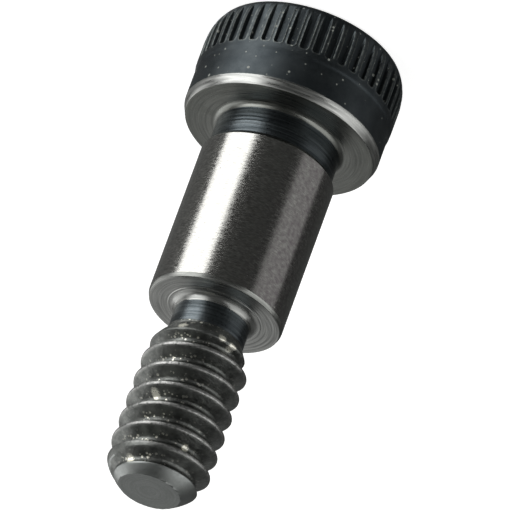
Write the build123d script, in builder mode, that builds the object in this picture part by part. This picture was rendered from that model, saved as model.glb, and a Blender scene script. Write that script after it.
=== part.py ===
"""Socket shoulder bolt, 1/4 in shoulder with a 10-24 thread, knurled head and hexagon socket.

It stands on its head. Z runs from the middle of the head's top face, through the head, the
ground shoulder and the thread, to the point. All sizes are in millimetres and degrees.
"""
import os
from math import ceil, cos, radians, tan

from build123d import *

# Head: a turned disc with a rounded top edge and a chamfer at its bearing face.
head_diameter = 9.2
head_height = 4.7
head_edge_width = 0.6
head_edge_height = 1.4
head_chamfer_width = 0.17
head_chamfer_height = 0.43

# Straight knurl: grooves rolled into the upper part of the head, which raise the wall a little.
knurl_count = 48
knurl_rise = 0.07
knurl_length = 2.46
knurl_margin = 0.3
knurl_groove_width = 0.4
knurl_groove_depth = 0.22
knurl_groove_slope = 28.0
knurl_end_bevel_ratio = 0.4
knurl_start_angle = -2.9

# Hexagon socket, pressed by a punch with a cone nose, and the countersink at its mouth.
socket_across_flats = 3.2
socket_depth = 2.45
socket_nose_angle = 120.0
socket_mouth_diameter = 3.95
socket_mouth_angle = 90.0

# Shoulder, measured from the bearing face to its end face, with the relief groove under the head.
shoulder_diameter = 6.27
shoulder_length = 9.525
shoulder_chamfer_width = 0.08
shoulder_chamfer_height = 0.2
head_relief_diameter = 5.8
head_relief_length = 1.75
head_relief_radius = 0.27

# Thread, measured from the shoulder's end face to the point: pitch, flanks, run-in and chamfer.
thread_diameter = 4.78
thread_length = 9.46
thread_pitch = 25.4 / 24
thread_flank_angle = 60.0
thread_crest_ratio = 1 / 8
thread_depth_ratio = 0.6
thread_run_in = 1.1
thread_overrun_ratio = 1 / 8
thread_start_angle = 91.6
point_diameter = 2.84
point_chamfer_angle = 45.0

# Relief groove between the shoulder's end face and the thread. It lies just under the thread's root.
thread_relief_length = 1.4
thread_relief_radius = 0.42
thread_relief_clearance = 0.01

# Heights along the axis.
bearing_height = head_height
shoulder_start_height = bearing_height + head_relief_length
shoulder_end_height = bearing_height + shoulder_length
thread_start_height = shoulder_end_height + thread_relief_length
tip_height = shoulder_end_height + thread_length

# Radii across the axis.
head_radius = head_diameter / 2
knurl_radius = head_radius + knurl_rise
shoulder_radius = shoulder_diameter / 2
head_relief_bottom = head_relief_diameter / 2
thread_radius = thread_diameter / 2
thread_depth = thread_depth_ratio * thread_pitch
thread_root_radius = thread_radius - thread_depth
thread_relief_bottom = thread_root_radius - thread_relief_clearance
point_radius = point_diameter / 2
point_chamfer_height = (thread_radius - point_radius) / tan(radians(point_chamfer_angle))

# Knurl groove cutter: a bar with sloping sides, open at the head's top, whose lower end is
# bevelled at both corners.
knurl_outside = knurl_groove_depth / 2
knurl_slope = tan(radians(knurl_groove_slope))
knurl_top_width = knurl_groove_width + 2 * knurl_outside * knurl_slope
knurl_floor_width = knurl_groove_width - 2 * knurl_groove_depth * knurl_slope
knurl_bar_length = knurl_length + head_edge_height
knurl_plane = Plane(origin=(0, 0, knurl_length - knurl_bar_length / 2), x_dir=(0, 0, 1), z_dir=(1, 0, 0))
knurl_end_bevel = knurl_groove_width * knurl_end_bevel_ratio

with BuildPart() as knurl_groove:
    with BuildSketch(Plane.XY.offset(-head_edge_height)):
        with BuildLine():
            Polyline(
                (knurl_radius - knurl_groove_depth, -knurl_floor_width / 2),
                (knurl_radius + knurl_outside, -knurl_top_width / 2),
                (knurl_radius + knurl_outside, knurl_top_width / 2),
                (knurl_radius - knurl_groove_depth, knurl_floor_width / 2),
                close=True,
            )
        make_face()
    extrude(amount=knurl_bar_length)
    with BuildSketch(knurl_plane) as knurl_outline:
        Rectangle(knurl_bar_length, knurl_top_width)
        chamfer(knurl_outline.vertices().group_by(Axis.X)[-1], length=knurl_end_bevel)
    extrude(amount=knurl_radius + knurl_outside, mode=Mode.INTERSECT)

# Socket punch: a hexagon whose end is ground to a cone across its corners.
socket_flat_radius = socket_across_flats / 2
socket_corner_radius = socket_flat_radius / cos(radians(30))
socket_nose_height = socket_corner_radius / tan(radians(socket_nose_angle / 2))

with BuildPart() as socket_punch:
    with BuildSketch():
        RegularPolygon(socket_flat_radius, 6, major_radius=False)
    extrude(amount=socket_depth + socket_nose_height)
    with BuildSketch(Plane.XZ):
        with BuildLine():
            Polyline(
                (0, 0),
                (socket_corner_radius, 0),
                (socket_corner_radius, socket_depth),
                (0, socket_depth + socket_nose_height),
                close=True,
            )
        make_face()
    revolve(axis=Axis.Z, mode=Mode.INTERSECT)

# Thread groove: one turn of a flat-bottomed vee, which clears the crests outside without touching
# the next turn. The first turn starts in the relief groove, half a pitch before the thread.
thread_slope = tan(radians(thread_flank_angle / 2))
groove_bottom_width = thread_pitch * (1 - thread_crest_ratio) - 2 * thread_depth * thread_slope
groove_height = thread_depth * (1 + thread_overrun_ratio)
groove_top_width = groove_bottom_width + 2 * groove_height * thread_slope
groove_start = thread_start_height - thread_pitch / 2
groove_turns = ceil((tip_height - groove_start) / thread_pitch + 1 / 2)

with BuildPart() as thread_groove:
    with BuildLine() as thread_path:
        Helix(thread_pitch, thread_pitch, thread_root_radius, center=(0, 0, groove_start))
    with BuildSketch(Plane(origin=thread_path.line @ 0, x_dir=(1, 0, 0), z_dir=thread_path.line % 0)):
        with BuildLine():
            Polyline(
                (0, -groove_bottom_width / 2),
                (groove_height, -groove_top_width / 2),
                (groove_height, groove_top_width / 2),
                (0, groove_bottom_width / 2),
                close=True,
            )
        make_face()
    sweep(path=thread_path.line, is_frenet=True)

with BuildPart() as shoulder_bolt:
    # Turned blank, from the middle of the head's top face round to the point.
    with BuildSketch(Plane.XZ):
        with BuildLine():
            Line((0, 0), (knurl_radius - head_edge_width, 0))
            EllipticalCenterArc(
                (knurl_radius - head_edge_width, head_edge_height),
                head_edge_width,
                head_edge_height,
                start_angle=-90,
                arc_size=90,
            )
            Polyline(
                (knurl_radius, head_edge_height),
                (knurl_radius, knurl_length + knurl_margin),
                (head_radius, knurl_length + knurl_margin + knurl_rise),
                (head_radius, bearing_height - head_chamfer_height),
                (head_radius - head_chamfer_width, bearing_height),
                (head_relief_bottom + head_relief_radius, bearing_height),
            )
            TangentArc(
                (head_relief_bottom + head_relief_radius, bearing_height),
                (head_relief_bottom, bearing_height + head_relief_radius),
                tangent=(-1, 0),
            )
            Polyline(
                (head_relief_bottom, bearing_height + head_relief_radius),
                (head_relief_bottom, shoulder_start_height - (shoulder_radius - head_relief_bottom)),
                (shoulder_radius, shoulder_start_height),
                (shoulder_radius, shoulder_end_height - shoulder_chamfer_height),
                (shoulder_radius - shoulder_chamfer_width, shoulder_end_height),
                (thread_relief_bottom + thread_relief_radius, shoulder_end_height),
            )
            TangentArc(
                (thread_relief_bottom + thread_relief_radius, shoulder_end_height),
                (thread_relief_bottom, shoulder_end_height + thread_relief_radius),
                tangent=(-1, 0),
            )
            Polyline(
                (thread_relief_bottom, shoulder_end_height + thread_relief_radius),
                (thread_relief_bottom, thread_start_height),
                (thread_radius, thread_start_height + thread_run_in),
                (thread_radius, tip_height - point_chamfer_height),
                (point_radius, tip_height),
                (0, tip_height),
                (0, 0),
            )
        make_face()
    revolve(axis=Axis.Z)

    # Knurl.
    with PolarLocations(0, knurl_count, start_angle=knurl_start_angle):
        add(knurl_groove.part, mode=Mode.SUBTRACT)

    # Socket and its countersunk mouth.
    add(socket_punch.part, mode=Mode.SUBTRACT)
    with BuildSketch(Plane.XZ):
        with BuildLine():
            Polyline(
                (0, 0),
                (socket_mouth_diameter / 2, 0),
                (0, socket_mouth_diameter / 2 / tan(radians(socket_mouth_angle / 2))),
                close=True,
            )
        make_face()
    revolve(axis=Axis.Z, mode=Mode.SUBTRACT)

    # Thread, which runs out past the point.
    turn_heights = [turn * thread_pitch for turn in range(groove_turns)]
    with Locations(*[Location((0, 0, height), (0, 0, thread_start_angle)) for height in turn_heights]):
        add(thread_groove.part, mode=Mode.SUBTRACT)

shoulder_bolt.part.label = "shoulder_bolt"
os.makedirs("parts", exist_ok=True)
export_step(shoulder_bolt.part, "parts/shoulder_bolt.step")
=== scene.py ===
"""Looks of the socket shoulder bolt: black oxide head and thread, ground shoulder, standing on its head."""
from math import atan2, cos, exp, hypot, pi, radians, sin, sqrt, tan

import bmesh
import bpy
from mathutils import Matrix, Vector


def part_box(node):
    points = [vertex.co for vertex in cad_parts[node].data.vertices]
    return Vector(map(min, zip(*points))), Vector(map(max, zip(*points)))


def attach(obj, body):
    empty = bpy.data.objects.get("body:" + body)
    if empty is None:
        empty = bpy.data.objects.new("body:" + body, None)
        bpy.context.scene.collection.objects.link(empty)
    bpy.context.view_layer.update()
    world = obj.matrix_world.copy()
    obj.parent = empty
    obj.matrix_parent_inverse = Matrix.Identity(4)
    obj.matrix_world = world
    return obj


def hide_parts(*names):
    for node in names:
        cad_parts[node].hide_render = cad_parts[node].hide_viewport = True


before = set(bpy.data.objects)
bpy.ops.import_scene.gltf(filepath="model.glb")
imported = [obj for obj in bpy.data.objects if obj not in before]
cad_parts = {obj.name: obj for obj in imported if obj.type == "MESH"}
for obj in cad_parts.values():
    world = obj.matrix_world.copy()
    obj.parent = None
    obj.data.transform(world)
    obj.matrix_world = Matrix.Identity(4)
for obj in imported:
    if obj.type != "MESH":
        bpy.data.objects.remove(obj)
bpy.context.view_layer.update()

# Knurled wall of the head: alloy steel, turned to a disc with a rounded top edge, then pressed by
# a straight knurling roll. The roll leaves 48 round-ended grooves, each with a raised lip, and a
# small step down to the plain band.
MM = 0.001
weld_distance = 0.001
tip_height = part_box("shoulder_bolt")[1].z / MM
knurl_radius = 4.648
crown_width = 0.6
crown_height = 1.4
head_radius = 4.6
knurl_bottom = 2.46
knurl_step_height = 2.7
step_length = 0.2
step_rows = 5
step_margin = 0.06
rim_width = 0.2
rim_edge = 0.06
groove_count = 48
groove_turn = radians(-2.9)
groove_floor_radius = 4.45
groove_half_width = 0.215
groove_wall_width = 0.075
groove_end_squareness = 3
groove_end_start = 2.1
groove_end_finish = 2.6
groove_floor_rounding = 0.03
groove_run_out = 0.12
lip_height = 0.014
lip_width = 0.03
groove_columns = 18
crown_row_count = 14
groove_row_count = 5
groove_end_row_count = 14
plain_row_count = 2
half_pitch = pi * knurl_radius / groove_count
column_places = [0, 0.07, 0.12, 0.145, 0.165, 0.19, 0.212, 0.23, 0.255, half_pitch]


def smooth_step(low, high, value):
    share = min(max((value - low) / (high - low), 0), 1)
    return share * share * (3 - 2 * share)


def soft_floor(value, softness):
    """The value where it is positive and zero where it is negative, with a rounded corner between."""
    return (value + sqrt(value * value + softness * softness)) / 2


def crown_rows(steps):
    """Radius and height down the rounded top edge, a quarter of an ellipse."""
    turns = [pi / 2 * step / steps for step in range(steps + 1)]
    return [
        (knurl_radius - crown_width * (1 - sin(turn)), crown_height * (1 - cos(turn)))
        for turn in turns
    ]


def even_rows(radius, start, end, steps):
    return [(radius, start + (end - start) * step / steps) for step in range(1, steps + 1)]


def groove_reach(across, height):
    """How far out a place is from the middle line of its groove, whose lower end is round."""
    beyond = max(height - knurl_bottom + groove_half_width, 0)
    power = groove_end_squareness
    return (abs(across) ** power + beyond ** power) ** (1 / power)


def knurl_depth(across, height, radius):
    """How far the groove and its lip move the wall inwards, at this place beside the groove's middle."""
    out = groove_reach(across, height)
    depth = radius - groove_floor_radius
    wall = 1 - smooth_step(groove_half_width - groove_wall_width, groove_half_width, out)
    fade = smooth_step(0, groove_run_out, depth)
    lip = lip_height * fade * exp(-((out - groove_half_width) / lip_width) ** 2)
    return wall * soft_floor(depth, groove_floor_rounding) - lip


flat_radius = knurl_radius - crown_width
wall_rows = [(flat_radius - rim_width, 0), (flat_radius - rim_edge, 0)]
wall_rows += crown_rows(crown_row_count)
wall_rows += even_rows(knurl_radius, crown_height, groove_end_start, groove_row_count)
wall_rows += even_rows(knurl_radius, groove_end_start, groove_end_finish, groove_end_row_count)
wall_rows += even_rows(knurl_radius, groove_end_finish, knurl_step_height, plain_row_count)
for row in range(1, step_rows + 1):
    fall = (knurl_radius - head_radius) * smooth_step(0, 1, row / step_rows)
    wall_rows.append((knurl_radius - fall, knurl_step_height + step_length * row / step_rows))
wall_rows.append((head_radius, knurl_step_height + step_length + step_margin))

bpy.ops.object.select_all(action="DESELECT")
bpy.ops.mesh.primitive_grid_add(x_subdivisions=groove_columns, y_subdivisions=len(wall_rows) - 1, size=1)
bolt = bpy.context.object
bolt.name = "bolt"
for vertex in bolt.data.vertices:
    column = round((vertex.co.x + 0.5) * groove_columns) - groove_columns // 2
    radius, height = wall_rows[round((vertex.co.y + 0.5) * (len(wall_rows) - 1))]
    across = column_places[abs(column)] * (1 if column > 0 else -1)
    angle = groove_turn + across / knurl_radius
    radius -= knurl_depth(across, height, radius)
    vertex.co = Vector((radius * cos(angle), radius * sin(angle), height)) * MM

one_groove = 2 * pi / groove_count
bpy.ops.object.mode_set(mode="EDIT")
bpy.ops.mesh.select_all(action="SELECT")
bpy.ops.mesh.spin(
    steps=groove_count - 1,
    dupli=True,
    angle=one_groove * (groove_count - 1),
    center=(0, 0, 0),
    axis=(0, 0, 1),
)
bpy.ops.mesh.select_all(action="SELECT")
bpy.ops.mesh.remove_doubles(threshold=weld_distance * MM)
bpy.ops.object.mode_set(mode="OBJECT")

# Top face and hexagon socket: the face is turned flat, the mouth is countersunk, and a punch with a
# cone nose presses the hexagon. The faces carry the same black oxide as the wall.
face_margin = 0.3
face_radius = flat_radius - face_margin
mid_face_radius = 3.0
socket_columns = 192
socket_flat_radius = 1.6
socket_corner_radius = socket_flat_radius / cos(pi / 6)
socket_depth = 2.45
socket_nose_slope = tan(radians(30))
mouth_radius = 1.975
edge_radius = 0.03


def hexagon_radius(angle):
    return socket_flat_radius / cos((angle + pi / 2) % (pi / 3) - pi / 6)


def draw_ring(shape, place):
    """Extrudes the selected rim and puts each new corner at the radius and height that place gives."""
    bpy.ops.mesh.extrude_edges_move()
    rim = bmesh.from_edit_mesh(shape.data)
    for corner in rim.verts:
        if corner.select:
            angle = atan2(corner.co.y, corner.co.x)
            radius, height = place(angle)
            corner.co = Vector((radius * cos(angle), radius * sin(angle), height)) * MM
    bmesh.update_edit_mesh(shape.data)


def mouth_edge(angle):
    return hexagon_radius(angle), mouth_radius - hexagon_radius(angle)


def nose_ring(share):
    """A ring on the cone of the socket's bottom, at this share of the hexagon's radius."""
    def place(angle):
        radius = hexagon_radius(angle) * share
        return radius, socket_depth + (socket_corner_radius - radius) * socket_nose_slope
    return place


socket_rings = [
    lambda angle: (mid_face_radius, 0),
    lambda angle: (mouth_radius + 2 * edge_radius, 0),
    lambda angle: (mouth_radius + edge_radius / 2, edge_radius / 4),
    lambda angle: (mouth_radius - edge_radius / 2, edge_radius),
    lambda angle: (hexagon_radius(angle) + edge_radius, mouth_edge(angle)[1] - edge_radius),
    lambda angle: (hexagon_radius(angle) + edge_radius / 4, mouth_edge(angle)[1] + edge_radius / 4),
    lambda angle: (hexagon_radius(angle), mouth_edge(angle)[1] + edge_radius),
    lambda angle: (hexagon_radius(angle), socket_depth / 2),
    lambda angle: (hexagon_radius(angle), nose_ring(1)(angle)[1] - edge_radius),
    nose_ring(0.985),
    nose_ring(0.75),
    nose_ring(0.5),
    nose_ring(0.25),
]

bpy.ops.object.select_all(action="DESELECT")
bpy.ops.mesh.primitive_circle_add(vertices=socket_columns, radius=face_radius * MM)
socket = bpy.context.object
bpy.ops.object.mode_set(mode="EDIT")
bpy.ops.mesh.select_all(action="SELECT")
for place in socket_rings:
    draw_ring(socket, place)
bpy.ops.mesh.extrude_edges_move()
bpy.ops.mesh.merge(type="CENTER")
bpy.ops.object.mode_set(mode="OBJECT")
nose_tip = min(socket.data.vertices, key=lambda corner: hypot(corner.co.x, corner.co.y))
nose_tip.co.z = nose_ring(0)(0)[1] * MM

# Under the head: the plain band, the bright turned chamfer, the bearing face, and the relief groove
# whose tool marks still show. Then the ground shoulder and the neck, all turned from one bar.
band_seam = 0.04
band_start = knurl_step_height + step_length + step_margin + band_seam
bearing_height = 4.7
chamfer_width = 0.17
chamfer_height = 0.43
head_neck_radius = 2.9
head_fillet = 0.27
shoulder_radius = 3.135
shoulder_start = 6.45
shoulder_end = 14.225
shoulder_chamfer_width = 0.08
shoulder_chamfer_height = 0.2
neck_radius = 1.745
neck_fillet = 0.42
neck_step = 0.02
neck_end = 15.5
neck_seam = 0.05
edge_rounding = 0.03
chamfer_rounding = 0.035
neck_step_rounding = 0.008
fine_rounding = 0.1
fine_segments = 4
wide_segments = 8
fillet_clearance_ratio = 1.5
tool_mark_pitch = 0.2
tool_mark_depth = 0.005
tool_mark_margin = 0.1
turned_columns = 192

# Each place on a tool mark, as a share of the pitch, and how far out it is, as a share of the depth.
tool_mark_shape = [(0, 0), (0.3, -1), (0.6, -0.6), (0.85, 0.4)]
neck_fillet_cut = neck_fillet - fillet_clearance_ratio * neck_step_rounding
head_neck_end = shoulder_start - (shoulder_radius - head_neck_radius)
first_mark = bearing_height + head_fillet + tool_mark_margin
last_mark = head_neck_end - tool_mark_margin
mark_count = int((last_mark - first_mark) / tool_mark_pitch)
tool_marks = []
for mark in range(mark_count):
    for along, out in tool_mark_shape:
        height = first_mark + (mark + along) * tool_mark_pitch
        tool_marks.append((head_neck_radius + out * tool_mark_depth, height, 0))

# Each corner has its radius, its height and how far its rounding cuts back along both edges.
turned_corners = [
    (head_radius, band_start, 0),
    (head_radius, bearing_height - chamfer_height, chamfer_rounding),
    (head_radius - chamfer_width, bearing_height, edge_rounding),
    (head_neck_radius, bearing_height, head_fillet),
    *tool_marks,
    (head_neck_radius, head_neck_end, edge_rounding),
    (shoulder_radius, shoulder_start, edge_rounding),
    (shoulder_radius, shoulder_end - shoulder_chamfer_height, edge_rounding),
    (shoulder_radius - shoulder_chamfer_width, shoulder_end, edge_rounding),
    (neck_radius + neck_fillet + neck_step, shoulder_end, neck_step_rounding),
    (neck_radius + neck_fillet, shoulder_end + neck_step, neck_step_rounding),
    (neck_radius, shoulder_end + neck_step, neck_fillet_cut),
    (neck_radius, neck_end, 0),
]


def draw_outline(name, corners, angle=0):
    """Draws an outline, corner after corner, on a half plane through the axis, and rounds its corners."""
    across = Vector((cos(angle), sin(angle), 0))
    places = [(across * radius + Vector((0, 0, height))) * MM for radius, height, cut in corners]
    bpy.ops.object.select_all(action="DESELECT")
    bpy.ops.mesh.primitive_circle_add(vertices=3, radius=MM)
    outline = bpy.context.object
    outline.name = name
    bpy.ops.object.mode_set(mode="EDIT")
    bpy.ops.mesh.select_all(action="SELECT")
    bpy.ops.mesh.merge(type="CENTER")
    bpy.ops.transform.translate(value=places[0])
    for near, far in zip(places, places[1:]):
        bpy.ops.mesh.extrude_vertices_move(TRANSFORM_OT_translate={"value": far - near})
    for place, (radius, height, cut) in zip(places, corners):
        if cut:
            bpy.ops.mesh.select_all(action="DESELECT")
            line = bmesh.from_edit_mesh(outline.data)
            nearest = min(line.verts, key=lambda corner: (corner.co - place).length)
            nearest.select = True
            line.select_flush_mode()
            bmesh.update_edit_mesh(outline.data)
            segments = wide_segments if cut > fine_rounding else fine_segments
            bpy.ops.mesh.bevel(offset=cut * MM, segments=segments, affect="VERTICES")
    bpy.ops.mesh.select_all(action="SELECT")
    return outline


turned = draw_outline("turned", turned_corners)
bpy.ops.mesh.spin(steps=turned_columns, angle=2 * pi, center=(0, 0, 0), axis=(0, 0, 1))
bpy.ops.object.mode_set(mode="OBJECT")

# Thread: 24 to the inch, rolled between dies, so its crests and roots are round. The crests grow out
# of the neck over a short run-in, and the point is a rounded chamfer.
thread_pitch = 25.4 / 24
thread_radius = 2.388
root_radius = 1.755
root_width = 0.193
crest_width = thread_pitch / 8
root_rounding = 0.09
crest_rounding = 0.055
flank_cuts = 5
shortest_flank = 0.3
thread_turn = radians(91.6)
thread_start = 15.625
thread_run_in = 1.1
first_root = thread_start - thread_pitch / 2
point_radius = 1.42
point_length = 1.9
point_roundness = 2.4
thread_columns = 120
spare_turns = 4
crest_softness = 0.035
cut_distance = 0.0001

thread_corners = [
    (root_radius, first_root - 2 * thread_pitch, 0),
    (root_radius, first_root - 2 * thread_pitch + root_width / 2, root_rounding),
    (thread_radius, first_root - 1.5 * thread_pitch - crest_width / 2, crest_rounding),
    (thread_radius, first_root - 1.5 * thread_pitch + crest_width / 2, crest_rounding),
    (root_radius, first_root - thread_pitch - root_width / 2, root_rounding),
    (root_radius, first_root - thread_pitch, 0),
]
thread = draw_outline("thread", thread_corners, thread_turn)
bpy.ops.object.mode_set(mode="EDIT")
line = bmesh.from_edit_mesh(thread.data)
bpy.ops.mesh.select_mode(type="EDGE")
bpy.ops.mesh.select_all(action="DESELECT")
for edge in line.edges:
    edge.select = edge.calc_length() > shortest_flank * MM
bmesh.update_edit_mesh(thread.data)
bpy.ops.mesh.subdivide(number_cuts=flank_cuts)
bpy.ops.object.mode_set(mode="OBJECT")

bpy.ops.object.modifier_add(type="SCREW")
sweep = thread.modifiers[-1]
sweep.axis = "Z"
sweep.angle = 2 * pi
sweep.steps = thread_columns
sweep.render_steps = thread_columns
sweep.screw_offset = thread_pitch * MM
sweep.iterations = int((tip_height - first_root) / thread_pitch) + spare_turns
bpy.ops.object.modifier_apply(modifier=sweep.name)


def blank_radius(height):
    """Radius of the blank that the thread is rolled on: neck, run-in cone, full size, rounded point."""
    cone = neck_radius + max(height - thread_start, 0) * (thread_radius - neck_radius) / thread_run_in
    share = min(max((tip_height - height) / point_length, 0), 1)
    full_radius = thread_radius + 2 * crest_softness
    return min(cone, full_radius - (full_radius - point_radius) * (1 - share) ** point_roundness)


for corner in thread.data.vertices:
    height = corner.co.z / MM
    radius = hypot(corner.co.x, corner.co.y) / MM
    limit = blank_radius(height)
    radius_left = limit - soft_floor(limit - radius, crest_softness)
    corner.co.x *= radius_left / radius
    corner.co.y *= radius_left / radius

bpy.ops.object.mode_set(mode="EDIT")
bpy.ops.mesh.select_mode(type="VERT")
bpy.ops.mesh.select_all(action="SELECT")
bpy.ops.mesh.remove_doubles(threshold=weld_distance * MM)
bpy.ops.mesh.select_all(action="SELECT")
bpy.ops.mesh.bisect(
    plane_co=(0, 0, (neck_end + neck_seam) * MM),
    plane_no=(0, 0, 1),
    clear_inner=True,
    threshold=cut_distance * MM,
)
bpy.ops.mesh.select_all(action="SELECT")
bpy.ops.mesh.bisect(
    plane_co=(0, 0, tip_height * MM),
    plane_no=(0, 0, 1),
    clear_outer=True,
    use_fill=True,
    threshold=cut_distance * MM,
)
bpy.ops.object.mode_set(mode="OBJECT")

# One bar: the four stretches are joined rim to rim into one closed skin, because the real bolt is
# one piece of steel with no seam.
seam_margin = 0.01
bpy.ops.object.select_all(action="DESELECT")
for stretch in (socket, turned, thread, bolt):
    stretch.select_set(True)
bpy.context.view_layer.objects.active = bolt
bpy.ops.object.join()


def turn_of(corner):
    return atan2(corner.co.y, corner.co.x)


def open_rim(skin, height, inside=0, outside=knurl_radius):
    """The corners of the open rim at this height, between these radii."""
    return [
        corner for corner in skin.verts
        if corner.is_boundary
        and abs(corner.co.z / MM - height) < weld_distance
        and inside < hypot(corner.co.x, corner.co.y) / MM < outside
    ]


def close_seam(skin, rim, other_rim):
    """Fills the gap between two rims with triangles, one corner after another round the axis."""
    last = [max(rim, key=turn_of), max(other_rim, key=turn_of)]
    corners = [(corner, 0) for corner in rim] + [(corner, 1) for corner in other_rim]
    for corner, side in sorted(corners, key=lambda pair: turn_of(pair[0])):
        skin.faces.new((last[side], corner, last[1 - side]))
        last[side] = corner


face_seam_radius = face_radius + seam_margin
skin = bmesh.new()
skin.from_mesh(bolt.data)
close_seam(skin, open_rim(skin, 0, outside=face_seam_radius), open_rim(skin, 0, inside=face_seam_radius))
close_seam(skin, open_rim(skin, wall_rows[-1][1]), open_rim(skin, band_start))
close_seam(skin, open_rim(skin, neck_end), open_rim(skin, neck_end + neck_seam))
skin.to_mesh(bolt.data)
skin.free()
bpy.ops.object.mode_set(mode="EDIT")
bpy.ops.mesh.select_all(action="SELECT")
bpy.ops.mesh.normals_make_consistent(inside=False)
bpy.ops.object.mode_set(mode="OBJECT")

# A knock has left one long, shallow nick in the knurl's lower edge, on the side towards +X. Then the
# skin is shaded smooth, with the flat faces kept flat.
nick_height = 2.72
nick_rise = 0.1
nick_length = 0.8
nick_depth = 0.1
flat_face_weight = 100
for corner in bolt.data.vertices:
    if corner.co.x > mid_face_radius * MM:
        off = hypot(corner.co.y / MM / nick_length, (corner.co.z / MM - nick_height) / nick_rise)
        corner.co.x -= nick_depth * exp(-(off ** 2)) * MM
bpy.ops.object.shade_smooth()
bpy.ops.object.modifier_add(type="WEIGHTED_NORMAL")
bolt.modifiers[-1].weight = flat_face_weight
bpy.ops.object.modifier_apply(modifier=bolt.modifiers[-1].name)

# Wear and painted light: where the coating has gone. The knurl's lips and the thread's crests are rubbed,
# the chamfers and fillets are thinly coated, and the thread has chips of bare steel and loose flakes in its
# roots. The chips and the densest flakes sit where the lamps' reflections fall, as painted glints, and the
# shoulder has a painted shade on the side away from the large lamp.
wear_start = 0.25
wear_full = 0.9
wear_end = 0.1
chamfer_wear = 1
fillet_wear = 0.15
rim_wear = 0.5
neck_fillet_wear = 0.9
rim_wear_width = 0.1
crest_wear_start = 0.09
crest_wear_full = 0.015
# Painted glints: the flakes gather round this turn, where the large lamp's reflection falls.
glint_turn = radians(-64)
glint_spread = radians(30)
glint_least = 0.15
flake_full = 0.12
flake_end = 0.4
# Painted shade: the shoulder's darker, purplish tone gathers round this turn, on the side away from the large
# lamp.
shade_turn = radians(-134)
shade_spread = radians(30)
shade_least = 0.25


def lip_wear(angle, height, radius):
    """How near a corner of the head's wall is to the raised lip of a knurl groove, from 0 to 1."""
    across = ((angle - groove_turn + one_groove / 2) % one_groove - one_groove / 2) * radius
    off = (groove_reach(across, height) - groove_half_width - lip_width / 3) / lip_width
    above = 1 - smooth_step(knurl_bottom, knurl_bottom + wear_end, height)
    return smooth_step(wear_start, wear_full, height) * above * exp(-off ** 2)


def coating_wear(angle, height, radius):
    """How far the coating is worn or thin at this place, from 0 to 1."""
    if height < knurl_step_height and radius > mid_face_radius:
        return lip_wear(angle, height, radius)
    on_chamfer = bearing_height - chamfer_height - edge_rounding < height < bearing_height
    if on_chamfer and radius > head_radius - chamfer_width:
        return chamfer_wear
    if abs(height - bearing_height) < head_fillet and radius < head_neck_radius + head_fillet:
        return fillet_wear
    on_rim = shoulder_end - shoulder_chamfer_height < height < shoulder_end + seam_margin
    if on_rim and radius > shoulder_radius - rim_wear_width:
        return rim_wear
    if shoulder_end - seam_margin < height < shoulder_end + neck_fillet:
        return neck_fillet_wear
    if height > thread_start:
        return smooth_step(thread_radius - crest_wear_start, thread_radius - crest_wear_full, radius)
    return 0


def spot(least, turn, spread):
    """A share that is full at one turn round the axis and falls to the least away from it."""
    return least + (1 - least) * exp(-(turn / spread) ** 2)


# Each chip is bare steel painted as a glint, where a lamp's reflection falls. Each has its turn round the
# axis in degrees, its height and its width.
chip_glints = [
    (-51, 19.79, 0.16),
    (-44, 23.15, 0.17),
    (-56, 16.17, 0.15),
    (-110, 16.2, 0.15),
    (-128, 16.3, 0.17),
    (-118, 21.88, 0.15),
]


def chip_glint_share(angle, height):
    """How near a corner is to one of the chips that show bare metal, painted as glints, from 0 to 1."""
    most = 0
    for turn, chip_height, width in chip_glints:
        across = ((angle - radians(turn) + pi) % (2 * pi) - pi) * root_radius
        most = max(most, exp(-((across ** 2 + (height - chip_height) ** 2) / width ** 2)))
    return most


skin_share_names = ("worn", "chipped_and_glinting", "flakes_and_glint_side", "painted_side_shade")
for name in skin_share_names:
    bolt.data.attributes.new(name, "FLOAT", "POINT")
worn, chipped_and_glinting, flakes_and_glint_side, painted_side_shade = (bolt.data.attributes[name].data for name in skin_share_names)
for corner, wear, chip_glint, flake_and_glint, side_shade in zip(bolt.data.vertices, worn, chipped_and_glinting, flakes_and_glint_side, painted_side_shade):
    angle = atan2(corner.co.y, corner.co.x)
    height = corner.co.z / MM
    radius = hypot(corner.co.x, corner.co.y) / MM
    wear.value = coating_wear(angle, height, radius)
    # The painted shade on the side away from the large lamp.
    side_shade.value = spot(shade_least, angle - shade_turn, shade_spread)
    if height > thread_start:
        # Chips of bare steel, painted as glints where the lamps' reflections fall.
        chip_glint.value = chip_glint_share(angle, height)
        in_root = 1 - smooth_step(root_radius + flake_full, root_radius + flake_end, radius)
        # Flakes in the roots, densest where the large lamp's reflection falls, as a painted glint.
        flake_and_glint.value = in_root * spot(glint_least, angle - glint_turn, glint_spread)


def colour(code):
    """Linear colour from an sRGB hex code."""
    shares = [int(code[place:place + 2], 16) / 255 for place in (1, 3, 5)]
    return (*[share / 12.92 if share < 0.04045 else ((share + 0.055) / 1.055) ** 2.4 for share in shares], 1)


def add_node(tree, kind, inputs=None, **settings):
    """Adds a node with its settings, and sets or links each of its inputs."""
    node = tree.nodes.new(kind)
    for name, value in settings.items():
        setattr(node, name, value)
    for name, value in (inputs or {}).items():
        if isinstance(value, bpy.types.NodeSocket):
            tree.links.new(value, node.inputs[name])
        else:
            node.inputs[name].default_value = value
    return node


def grain(tree, size, detail=2, seed=0, low=0.3, high=0.7):
    """Even noise with grains of this size in mm. Its values from low to high are stretched to 0 to 1."""
    place = add_node(tree, "ShaderNodeTexCoord")
    inputs = {"Vector": place.outputs["Object"], "W": seed, "Scale": 1 / (size * MM), "Detail": detail}
    noise = add_node(tree, "ShaderNodeTexNoise", inputs, noise_dimensions="4D")
    inputs = {"Value": noise.outputs[0], "From Min": low, "From Max": high}
    return add_node(tree, "ShaderNodeMapRange", inputs).outputs[0]


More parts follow.
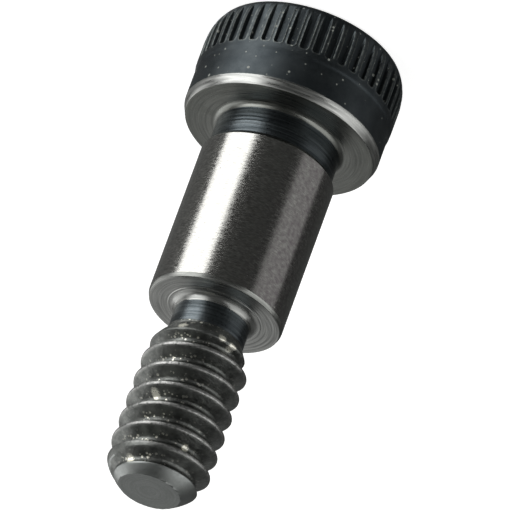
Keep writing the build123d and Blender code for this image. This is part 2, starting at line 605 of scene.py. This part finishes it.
def cut_marks(tree, length, width, detail=2, seed=0, low=0.3, high=0.7):
    """Noise drawn out round the axis, as a tool leaves it: marks of this length and width in mm."""
    place = add_node(tree, "ShaderNodeTexCoord").outputs["Object"]
    parts = add_node(tree, "ShaderNodeSeparateXYZ", {0: place})
    flat = add_node(tree, "ShaderNodeVectorMath", {0: place, 1: (1, 1, 0)}, operation="MULTIPLY")
    radius = add_node(tree, "ShaderNodeVectorMath", {0: flat.outputs[0]}, operation="LENGTH").outputs["Value"]
    along = add_node(tree, "ShaderNodeMath", {0: radius, 1: parts.outputs["Z"]}, operation="ADD")
    drawn = add_node(tree, "ShaderNodeMath", {0: along.outputs[0], 1: length / width}, operation="MULTIPLY")
    inputs = {"X": parts.outputs["X"], "Y": parts.outputs["Y"], "Z": drawn.outputs[0]}
    stretched = add_node(tree, "ShaderNodeCombineXYZ", inputs)
    inputs = {"Vector": stretched.outputs[0], "W": seed, "Scale": 1 / (length * MM), "Detail": detail}
    noise = add_node(tree, "ShaderNodeTexNoise", inputs, noise_dimensions="4D")
    inputs = {"Value": noise.outputs[0], "From Min": low, "From Max": high}
    return add_node(tree, "ShaderNodeMapRange", inputs).outputs[0]


def specks(tree, spacing, share, size, sharpness=12.0):
    """Sparse round specks: cells of this spacing in mm, the share of them that holds one, and its size."""
    place = add_node(tree, "ShaderNodeTexCoord").outputs["Object"]
    cells = add_node(tree, "ShaderNodeTexVoronoi", {"Vector": place, "Scale": 1 / (spacing * MM)})
    parts = add_node(tree, "ShaderNodeSeparateXYZ", {0: cells.outputs["Color"]})
    reach = add_node(tree, "ShaderNodeMath", {0: parts.outputs["Y"], 1: size / spacing}, operation="MULTIPLY")
    inputs = {0: reach.outputs[0], 1: cells.outputs["Distance"]}
    inside = add_node(tree, "ShaderNodeMath", inputs, operation="SUBTRACT")
    inputs = {0: inside.outputs[0], 1: sharpness}
    sharp = add_node(tree, "ShaderNodeMath", inputs, operation="MULTIPLY", use_clamp=True)
    held = add_node(tree, "ShaderNodeMath", {0: parts.outputs["X"], 1: share}, operation="LESS_THAN")
    inputs = {0: sharp.outputs[0], 1: held.outputs[0]}
    return add_node(tree, "ShaderNodeMath", inputs, operation="MULTIPLY").outputs[0]


def broken_up(tree, name, size, detail, seed, low, high):
    """One of the skin's own shares, such as its wear, broken up by grains of this size in mm."""
    share = add_node(tree, "ShaderNodeAttribute", attribute_name=name)
    inputs = {0: share.outputs["Fac"], 1: grain(tree, size, detail, seed, low, high)}
    return add_node(tree, "ShaderNodeMath", inputs, operation="MULTIPLY").outputs[0]


def coated(tree, ground, *coats):
    """The colour of a ground with coats over it, each given as the share that it covers and its colour."""
    for share, coat in coats:
        inputs = {0: share, 6: ground, 7: coat}
        ground = add_node(tree, "ShaderNodeMix", inputs, data_type="RGBA").outputs[2]
    return ground


def new_metal(name):
    """An empty material in the bolt's next slot, with its node tree."""
    metal = bpy.data.materials.new(name)
    metal.use_nodes = True
    metal.node_tree.nodes.clear()
    bolt.data.materials.append(metal)
    return metal.node_tree


def finish_metal(tree, base, dulling, smooth, rough, relief, relief_depth, dust=0.0):
    """Ends a metal: its colour, its dulling from smooth to rough, its relief with a depth in mm, its dust."""
    clean = add_node(tree, "ShaderNodeMath", {0: 1.0, 1: dust}, operation="SUBTRACT")
    roughness = add_node(tree, "ShaderNodeMapRange", {"Value": dulling, "To Min": smooth, "To Max": rough})
    inputs = {"Height": relief, "Distance": relief_depth * MM, "Strength": 1.0}
    bump = add_node(tree, "ShaderNodeBump", inputs)
    inputs = {
        "Base Color": base,
        "Metallic": clean.outputs[0],
        "Roughness": roughness.outputs[0],
        "Normal": bump.outputs[0],
    }
    shader = add_node(tree, "ShaderNodeBsdfPrincipled", inputs)
    add_node(tree, "ShaderNodeOutputMaterial", {"Surface": shader.outputs[0]})


bolt.data.materials.clear()

# Black oxide on the head: a thin dip coating over knurled and turned steel. It is blue-black and
# satin, the knurl's lips are rubbed to grey, and dust and lint show on it as pale specks, which are
# drawn as coarse as the picture needs.
oxide = new_metal("black_oxide")
rubbed = broken_up(oxide, "worn", size=0.12, detail=3, seed=0, low=0.35, high=0.6)
coarse = specks(oxide, spacing=0.3, share=0.2, size=0.09)
fine = specks(oxide, spacing=0.16, share=0.12, size=0.05)
dust = add_node(oxide, "ShaderNodeMath", {0: coarse, 1: fine}, operation="ADD", use_clamp=True).outputs[0]
clouds = grain(oxide, size=0.9, detail=4)
coats = [(clouds, colour("#464b4d")), (rubbed, colour("#6f7370")), (dust, colour("#7f827c"))]
base = coated(oxide, colour("#33383b"), *coats)
pores = grain(oxide, size=0.05, detail=3, seed=4, low=0, high=1)
dulling = grain(oxide, size=0.06, detail=3, seed=2)
finish_metal(oxide, base, dulling, smooth=0.38, rough=0.55, relief=pores, relief_depth=0.004, dust=dust)

# Turned steel of the head's chamfer, the faces and the fillets: the tool leaves fine rings, which
# streak the light along the circle. The coating is thin or gone there, so it is grey to bright. The
# real rings are finer than the picture can show.
turned_steel = new_metal("turned_steel")
rings = cut_marks(turned_steel, length=2.2, width=0.07, detail=3, low=0, high=1)
streaks = cut_marks(turned_steel, length=2.2, width=0.07, detail=3, low=0.35, high=0.65)
thinned = add_node(turned_steel, "ShaderNodeAttribute", attribute_name="worn").outputs["Fac"]
bright = coated(turned_steel, colour("#7d7e7c"), (streaks, colour("#b4b5b2")))
base = coated(turned_steel, colour("#626460"), (streaks, colour("#757772")), (thinned, bright))
dulling = cut_marks(turned_steel, length=1.2, width=0.05, detail=2, seed=3)
finish_metal(turned_steel, base, dulling, smooth=0.22, rough=0.45, relief=rings, relief_depth=0.005)

# Neck oxide: the grooves under the head and under the shoulder are turned, so faint lines run round
# them, and dipped with the head. Nothing rubs them, so they stay blue-black.
neck_oxide = new_metal("neck_oxide")
lines = cut_marks(neck_oxide, length=3.0, width=0.1, detail=2, seed=6, low=0, high=1)
streaks = cut_marks(neck_oxide, length=3.0, width=0.1, detail=2, seed=6, low=0.35, high=0.65)
base = coated(neck_oxide, colour("#393f42"), (streaks, colour("#5f6568")))
dulling = grain(neck_oxide, size=0.1, detail=3, seed=7)
finish_metal(neck_oxide, base, dulling, smooth=0.25, rough=0.4, relief=lines, relief_depth=0.009)

# Ground steel of the shoulder: a centreless grinder leaves short dashes round the axis, which break
# the edge of each reflection into flecks. It is bright, with a painted shade, darker and purplish, that
# is strongest on the side away from the large lamp.
ground_steel = new_metal("ground_steel")
scratches = cut_marks(ground_steel, length=0.22, width=0.03, detail=3, low=0, high=1)
dashes = cut_marks(ground_steel, length=0.22, width=0.03, detail=3, low=0.35, high=0.65)
# Painted shade: darker and purplish on the side away from the large lamp, broken up by grains.
side_shade = broken_up(ground_steel, "painted_side_shade", size=0.2, detail=4, seed=9, low=0.25, high=0.75)
dust = specks(ground_steel, spacing=0.4, share=0.06, size=0.06)
coats = [(dashes, colour("#bdbdb8")), (side_shade, colour("#7b7377")), (dust, colour("#8b8a84"))]
base = coated(ground_steel, colour("#8e8e8a"), *coats)
finish_metal(
    ground_steel, base, dashes, smooth=0.12, rough=0.26, relief=scratches, relief_depth=0.0035, dust=dust
)

# Rolled thread: dies press it out of the blank, so the crests come out bright and the roots stay
# rough and dark, with chips of bare steel and loose flakes in the roots, painted near white as glints
# and gathered where the lamps' reflections fall.
rolled_oxide = new_metal("rolled_oxide")
rubbed = broken_up(rolled_oxide, "worn", size=0.15, detail=3, seed=11, low=0.3, high=0.55)
# The flakes' share: in the roots, densest where the large lamp's reflection falls, as painted glints.
in_root = add_node(rolled_oxide, "ShaderNodeAttribute", attribute_name="flakes_and_glint_side").outputs["Fac"]
inputs = {0: in_root, 1: specks(rolled_oxide, spacing=0.13, share=0.45, size=0.08)}
flakes_and_glints = add_node(rolled_oxide, "ShaderNodeMath", inputs, operation="MULTIPLY").outputs[0]
# Chips of bare steel, painted near white as glints.
ragged_chip_glints = broken_up(rolled_oxide, "chipped_and_glinting", size=0.08, detail=2, seed=17, low=0.25, high=0.5)
bare_chip_glints = add_node(rolled_oxide, "ShaderNodeMapRange", {"Value": ragged_chip_glints, "From Min": 0.15, "From Max": 0.45})
inputs = {0: flakes_and_glints, 1: bare_chip_glints.outputs[0]}
glints = add_node(rolled_oxide, "ShaderNodeMath", inputs, operation="ADD", use_clamp=True).outputs[0]
clouds = grain(rolled_oxide, size=0.4, detail=4)
coats = [(clouds, colour("#737572")), (rubbed, colour("#9a9a98")), (glints, colour("#e6e4d8"))]
base = coated(rolled_oxide, colour("#4d4f4d"), *coats)
pits = grain(rolled_oxide, size=0.09, detail=3, seed=13, low=0, high=1)
dulling = grain(rolled_oxide, size=0.07, detail=3, seed=12)
finish_metal(rolled_oxide, base, dulling, smooth=0.32, rough=0.52, relief=pits, relief_depth=0.02)

# Point: the bar is cut off and chamfered before rolling, and its face has a dull mid-grey coating
# with faint marks of the cut.
cut_point = new_metal("cut_point")
arcs = cut_marks(cut_point, length=1.5, width=0.09, detail=3, seed=15, low=0, high=1)
streaks = cut_marks(cut_point, length=1.5, width=0.09, detail=3, seed=15, low=0.35, high=0.65)
base = coated(cut_point, colour("#7f8280"), (streaks, colour("#8c8f8d")))
dulling = grain(cut_point, size=0.1, detail=3, seed=16)
finish_metal(cut_point, base, dulling, smooth=0.35, rough=0.55, relief=arcs, relief_depth=0.003)

# Which finish each face of the bolt has, by its place: the six materials in the order of their slots.
OXIDE, TURNED, NECK, GROUND, ROLLED, POINT = range(6)
head_fillet_share = 0.8
neck_fillet_share = 0.75
cut_length = 0.76
cut_depth = 0.05


def finish_at(radius, height):
    if height < bearing_height - chamfer_height:
        return OXIDE
    if height < bearing_height + head_fillet * head_fillet_share:
        return TURNED
    if height < (head_neck_end + shoulder_start) / 2:
        return NECK
    if height < shoulder_end - shoulder_chamfer_height:
        return GROUND
    if height < shoulder_end + neck_fillet * neck_fillet_share:
        return TURNED
    if height < thread_start:
        return NECK
    if height > tip_height - cut_length and radius > blank_radius(height) - cut_depth:
        return POINT
    return POINT if height > tip_height - seam_margin else ROLLED


for face in bolt.data.polygons:
    face.material_index = finish_at(hypot(face.center.x, face.center.y) / MM, face.center.z / MM)
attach(bolt, "root")
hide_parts("shoulder_bolt")

# Camera: in front of the bolt and above it, looking down, and turned nearly upside down so that the
# head is at the top of the picture. A long lens keeps the shoulder's sides nearly parallel.
camera_rise = radians(28.6)
camera_roll = radians(20.2)
camera_distance = 600
lens_pixels = 13415
picture_pixels = 512
sensor_width = 36
aim_height = 10.68
aim_aside = 0.843

to_camera = Vector((0, -cos(camera_rise), sin(camera_rise)))
to_head = Vector((0, -sin(camera_rise), -cos(camera_rise)))
across = Vector((-1, 0, 0))
picture_right = to_head * sin(camera_roll) + across * cos(camera_roll)
picture_up = to_head * cos(camera_roll) - across * sin(camera_roll)
aim = Vector((0, 0, aim_height)) + across * aim_aside
place = (aim + to_camera * camera_distance) * MM

camera_data = bpy.data.cameras.new("camera")
camera_data.lens = lens_pixels * sensor_width / picture_pixels
camera_data.sensor_width = sensor_width
camera = bpy.data.objects.new("camera", camera_data)
turned_camera = Matrix((picture_right, picture_up, to_camera)).transposed().to_4x4()
camera.matrix_world = Matrix.Translation(place) @ turned_camera
bpy.context.collection.objects.link(camera)
bpy.context.scene.camera = camera

# Floor: white paper under the bolt. It glows for the camera, so that no shadow shows on it. The metal
# doesn't mirror it, because the real bolt mirrors a dark room, and the low lamps shine through it. Its
# gap is in mm and its size in metres.
floor_gap = 0.02
floor_size = 2
floor_glow = 0.8
bpy.ops.object.select_all(action="DESELECT")
bpy.ops.mesh.primitive_plane_add(size=floor_size, location=(0, 0, -floor_gap * MM))
floor = bpy.context.object
floor.name = "floor"
floor.visible_glossy = False
floor.visible_shadow = False
paper = bpy.data.materials.new("white_paper")
paper.use_nodes = True
paper.node_tree.nodes.clear()
seen = add_node(paper.node_tree, "ShaderNodeLightPath")
inputs = {0: seen.outputs["Is Camera Ray"], 1: floor_glow}
strength = add_node(paper.node_tree, "ShaderNodeMath", inputs, operation="MULTIPLY").outputs[0]
glow = add_node(paper.node_tree, "ShaderNodeEmission", {"Color": colour("#ffffff"), "Strength": strength})
matt = add_node(paper.node_tree, "ShaderNodeBsdfDiffuse", {"Color": colour("#d8d8d6")})
both = add_node(paper.node_tree, "ShaderNodeAddShader", {0: glow.outputs[0], 1: matt.outputs[0]})
add_node(paper.node_tree, "ShaderNodeOutputMaterial", {"Surface": both.outputs[0]})
floor.data.materials.append(paper)

# Room: dark grey all round to the metal and the lamps' bounces, and white where the camera looks
# past the bolt.
world = bpy.data.worlds.new("room")
bpy.context.scene.world = world
world.use_nodes = True
world.node_tree.nodes.clear()
seen = add_node(world.node_tree, "ShaderNodeLightPath")
room = coated(world.node_tree, colour("#494a49"), (seen.outputs["Is Camera Ray"], colour("#ffffff")))
sky = add_node(world.node_tree, "ShaderNodeBackground", {"Color": room, "Strength": 1.0})
add_node(world.node_tree, "ShaderNodeOutputWorld", {"Surface": sky.outputs[0]})

# Lamps: a large softbox on the left, a dimmer one on the right, two behind for the flat faces and
# the left edges, and two dim cards that lift the dark sides.
lamp_distance = 300
lit_height = 10


def add_softbox(name, turn, rise, width, height, brightness):
    """A lamp that faces the bolt from a turn round the axis and a rise, with its spans, all in degrees."""
    turn, rise = radians(turn), radians(rise)
    away = Vector((-sin(turn) * cos(rise), -cos(turn) * cos(rise), sin(rise)))
    lamp_data = bpy.data.lights.new(name, "AREA")
    lamp_data.shape = "RECTANGLE"
    lamp_data.size = 2 * lamp_distance * tan(radians(width / 2)) * MM
    lamp_data.size_y = 2 * lamp_distance * tan(radians(height / 2)) * MM
    lamp_data.energy = brightness * pi * lamp_data.size * lamp_data.size_y
    lamp = bpy.data.objects.new(name, lamp_data)
    lamp.location = (Vector((0, 0, lit_height)) + away * lamp_distance) * MM
    lamp.rotation_euler = away.to_track_quat("Z", "Y").to_euler()
    lamp.visible_camera = False
    bpy.context.collection.objects.link(lamp)


add_softbox("left_box", turn=-64, rise=-10, width=47, height=100, brightness=3.2)
add_softbox("left_card", turn=-130, rise=-20, width=70, height=70, brightness=0.08)
add_softbox("right_box", turn=65, rise=28, width=60, height=60, brightness=1.5)
add_softbox("right_card", turn=73, rise=-34, width=44, height=56, brightness=0.4)
add_softbox("back_box", turn=-165, rise=30, width=80, height=50, brightness=0.42)
add_softbox("back_lamp", turn=-130, rise=22, width=40, height=54, brightness=1.5)

bpy.context.scene.view_settings.view_transform = "Standard"
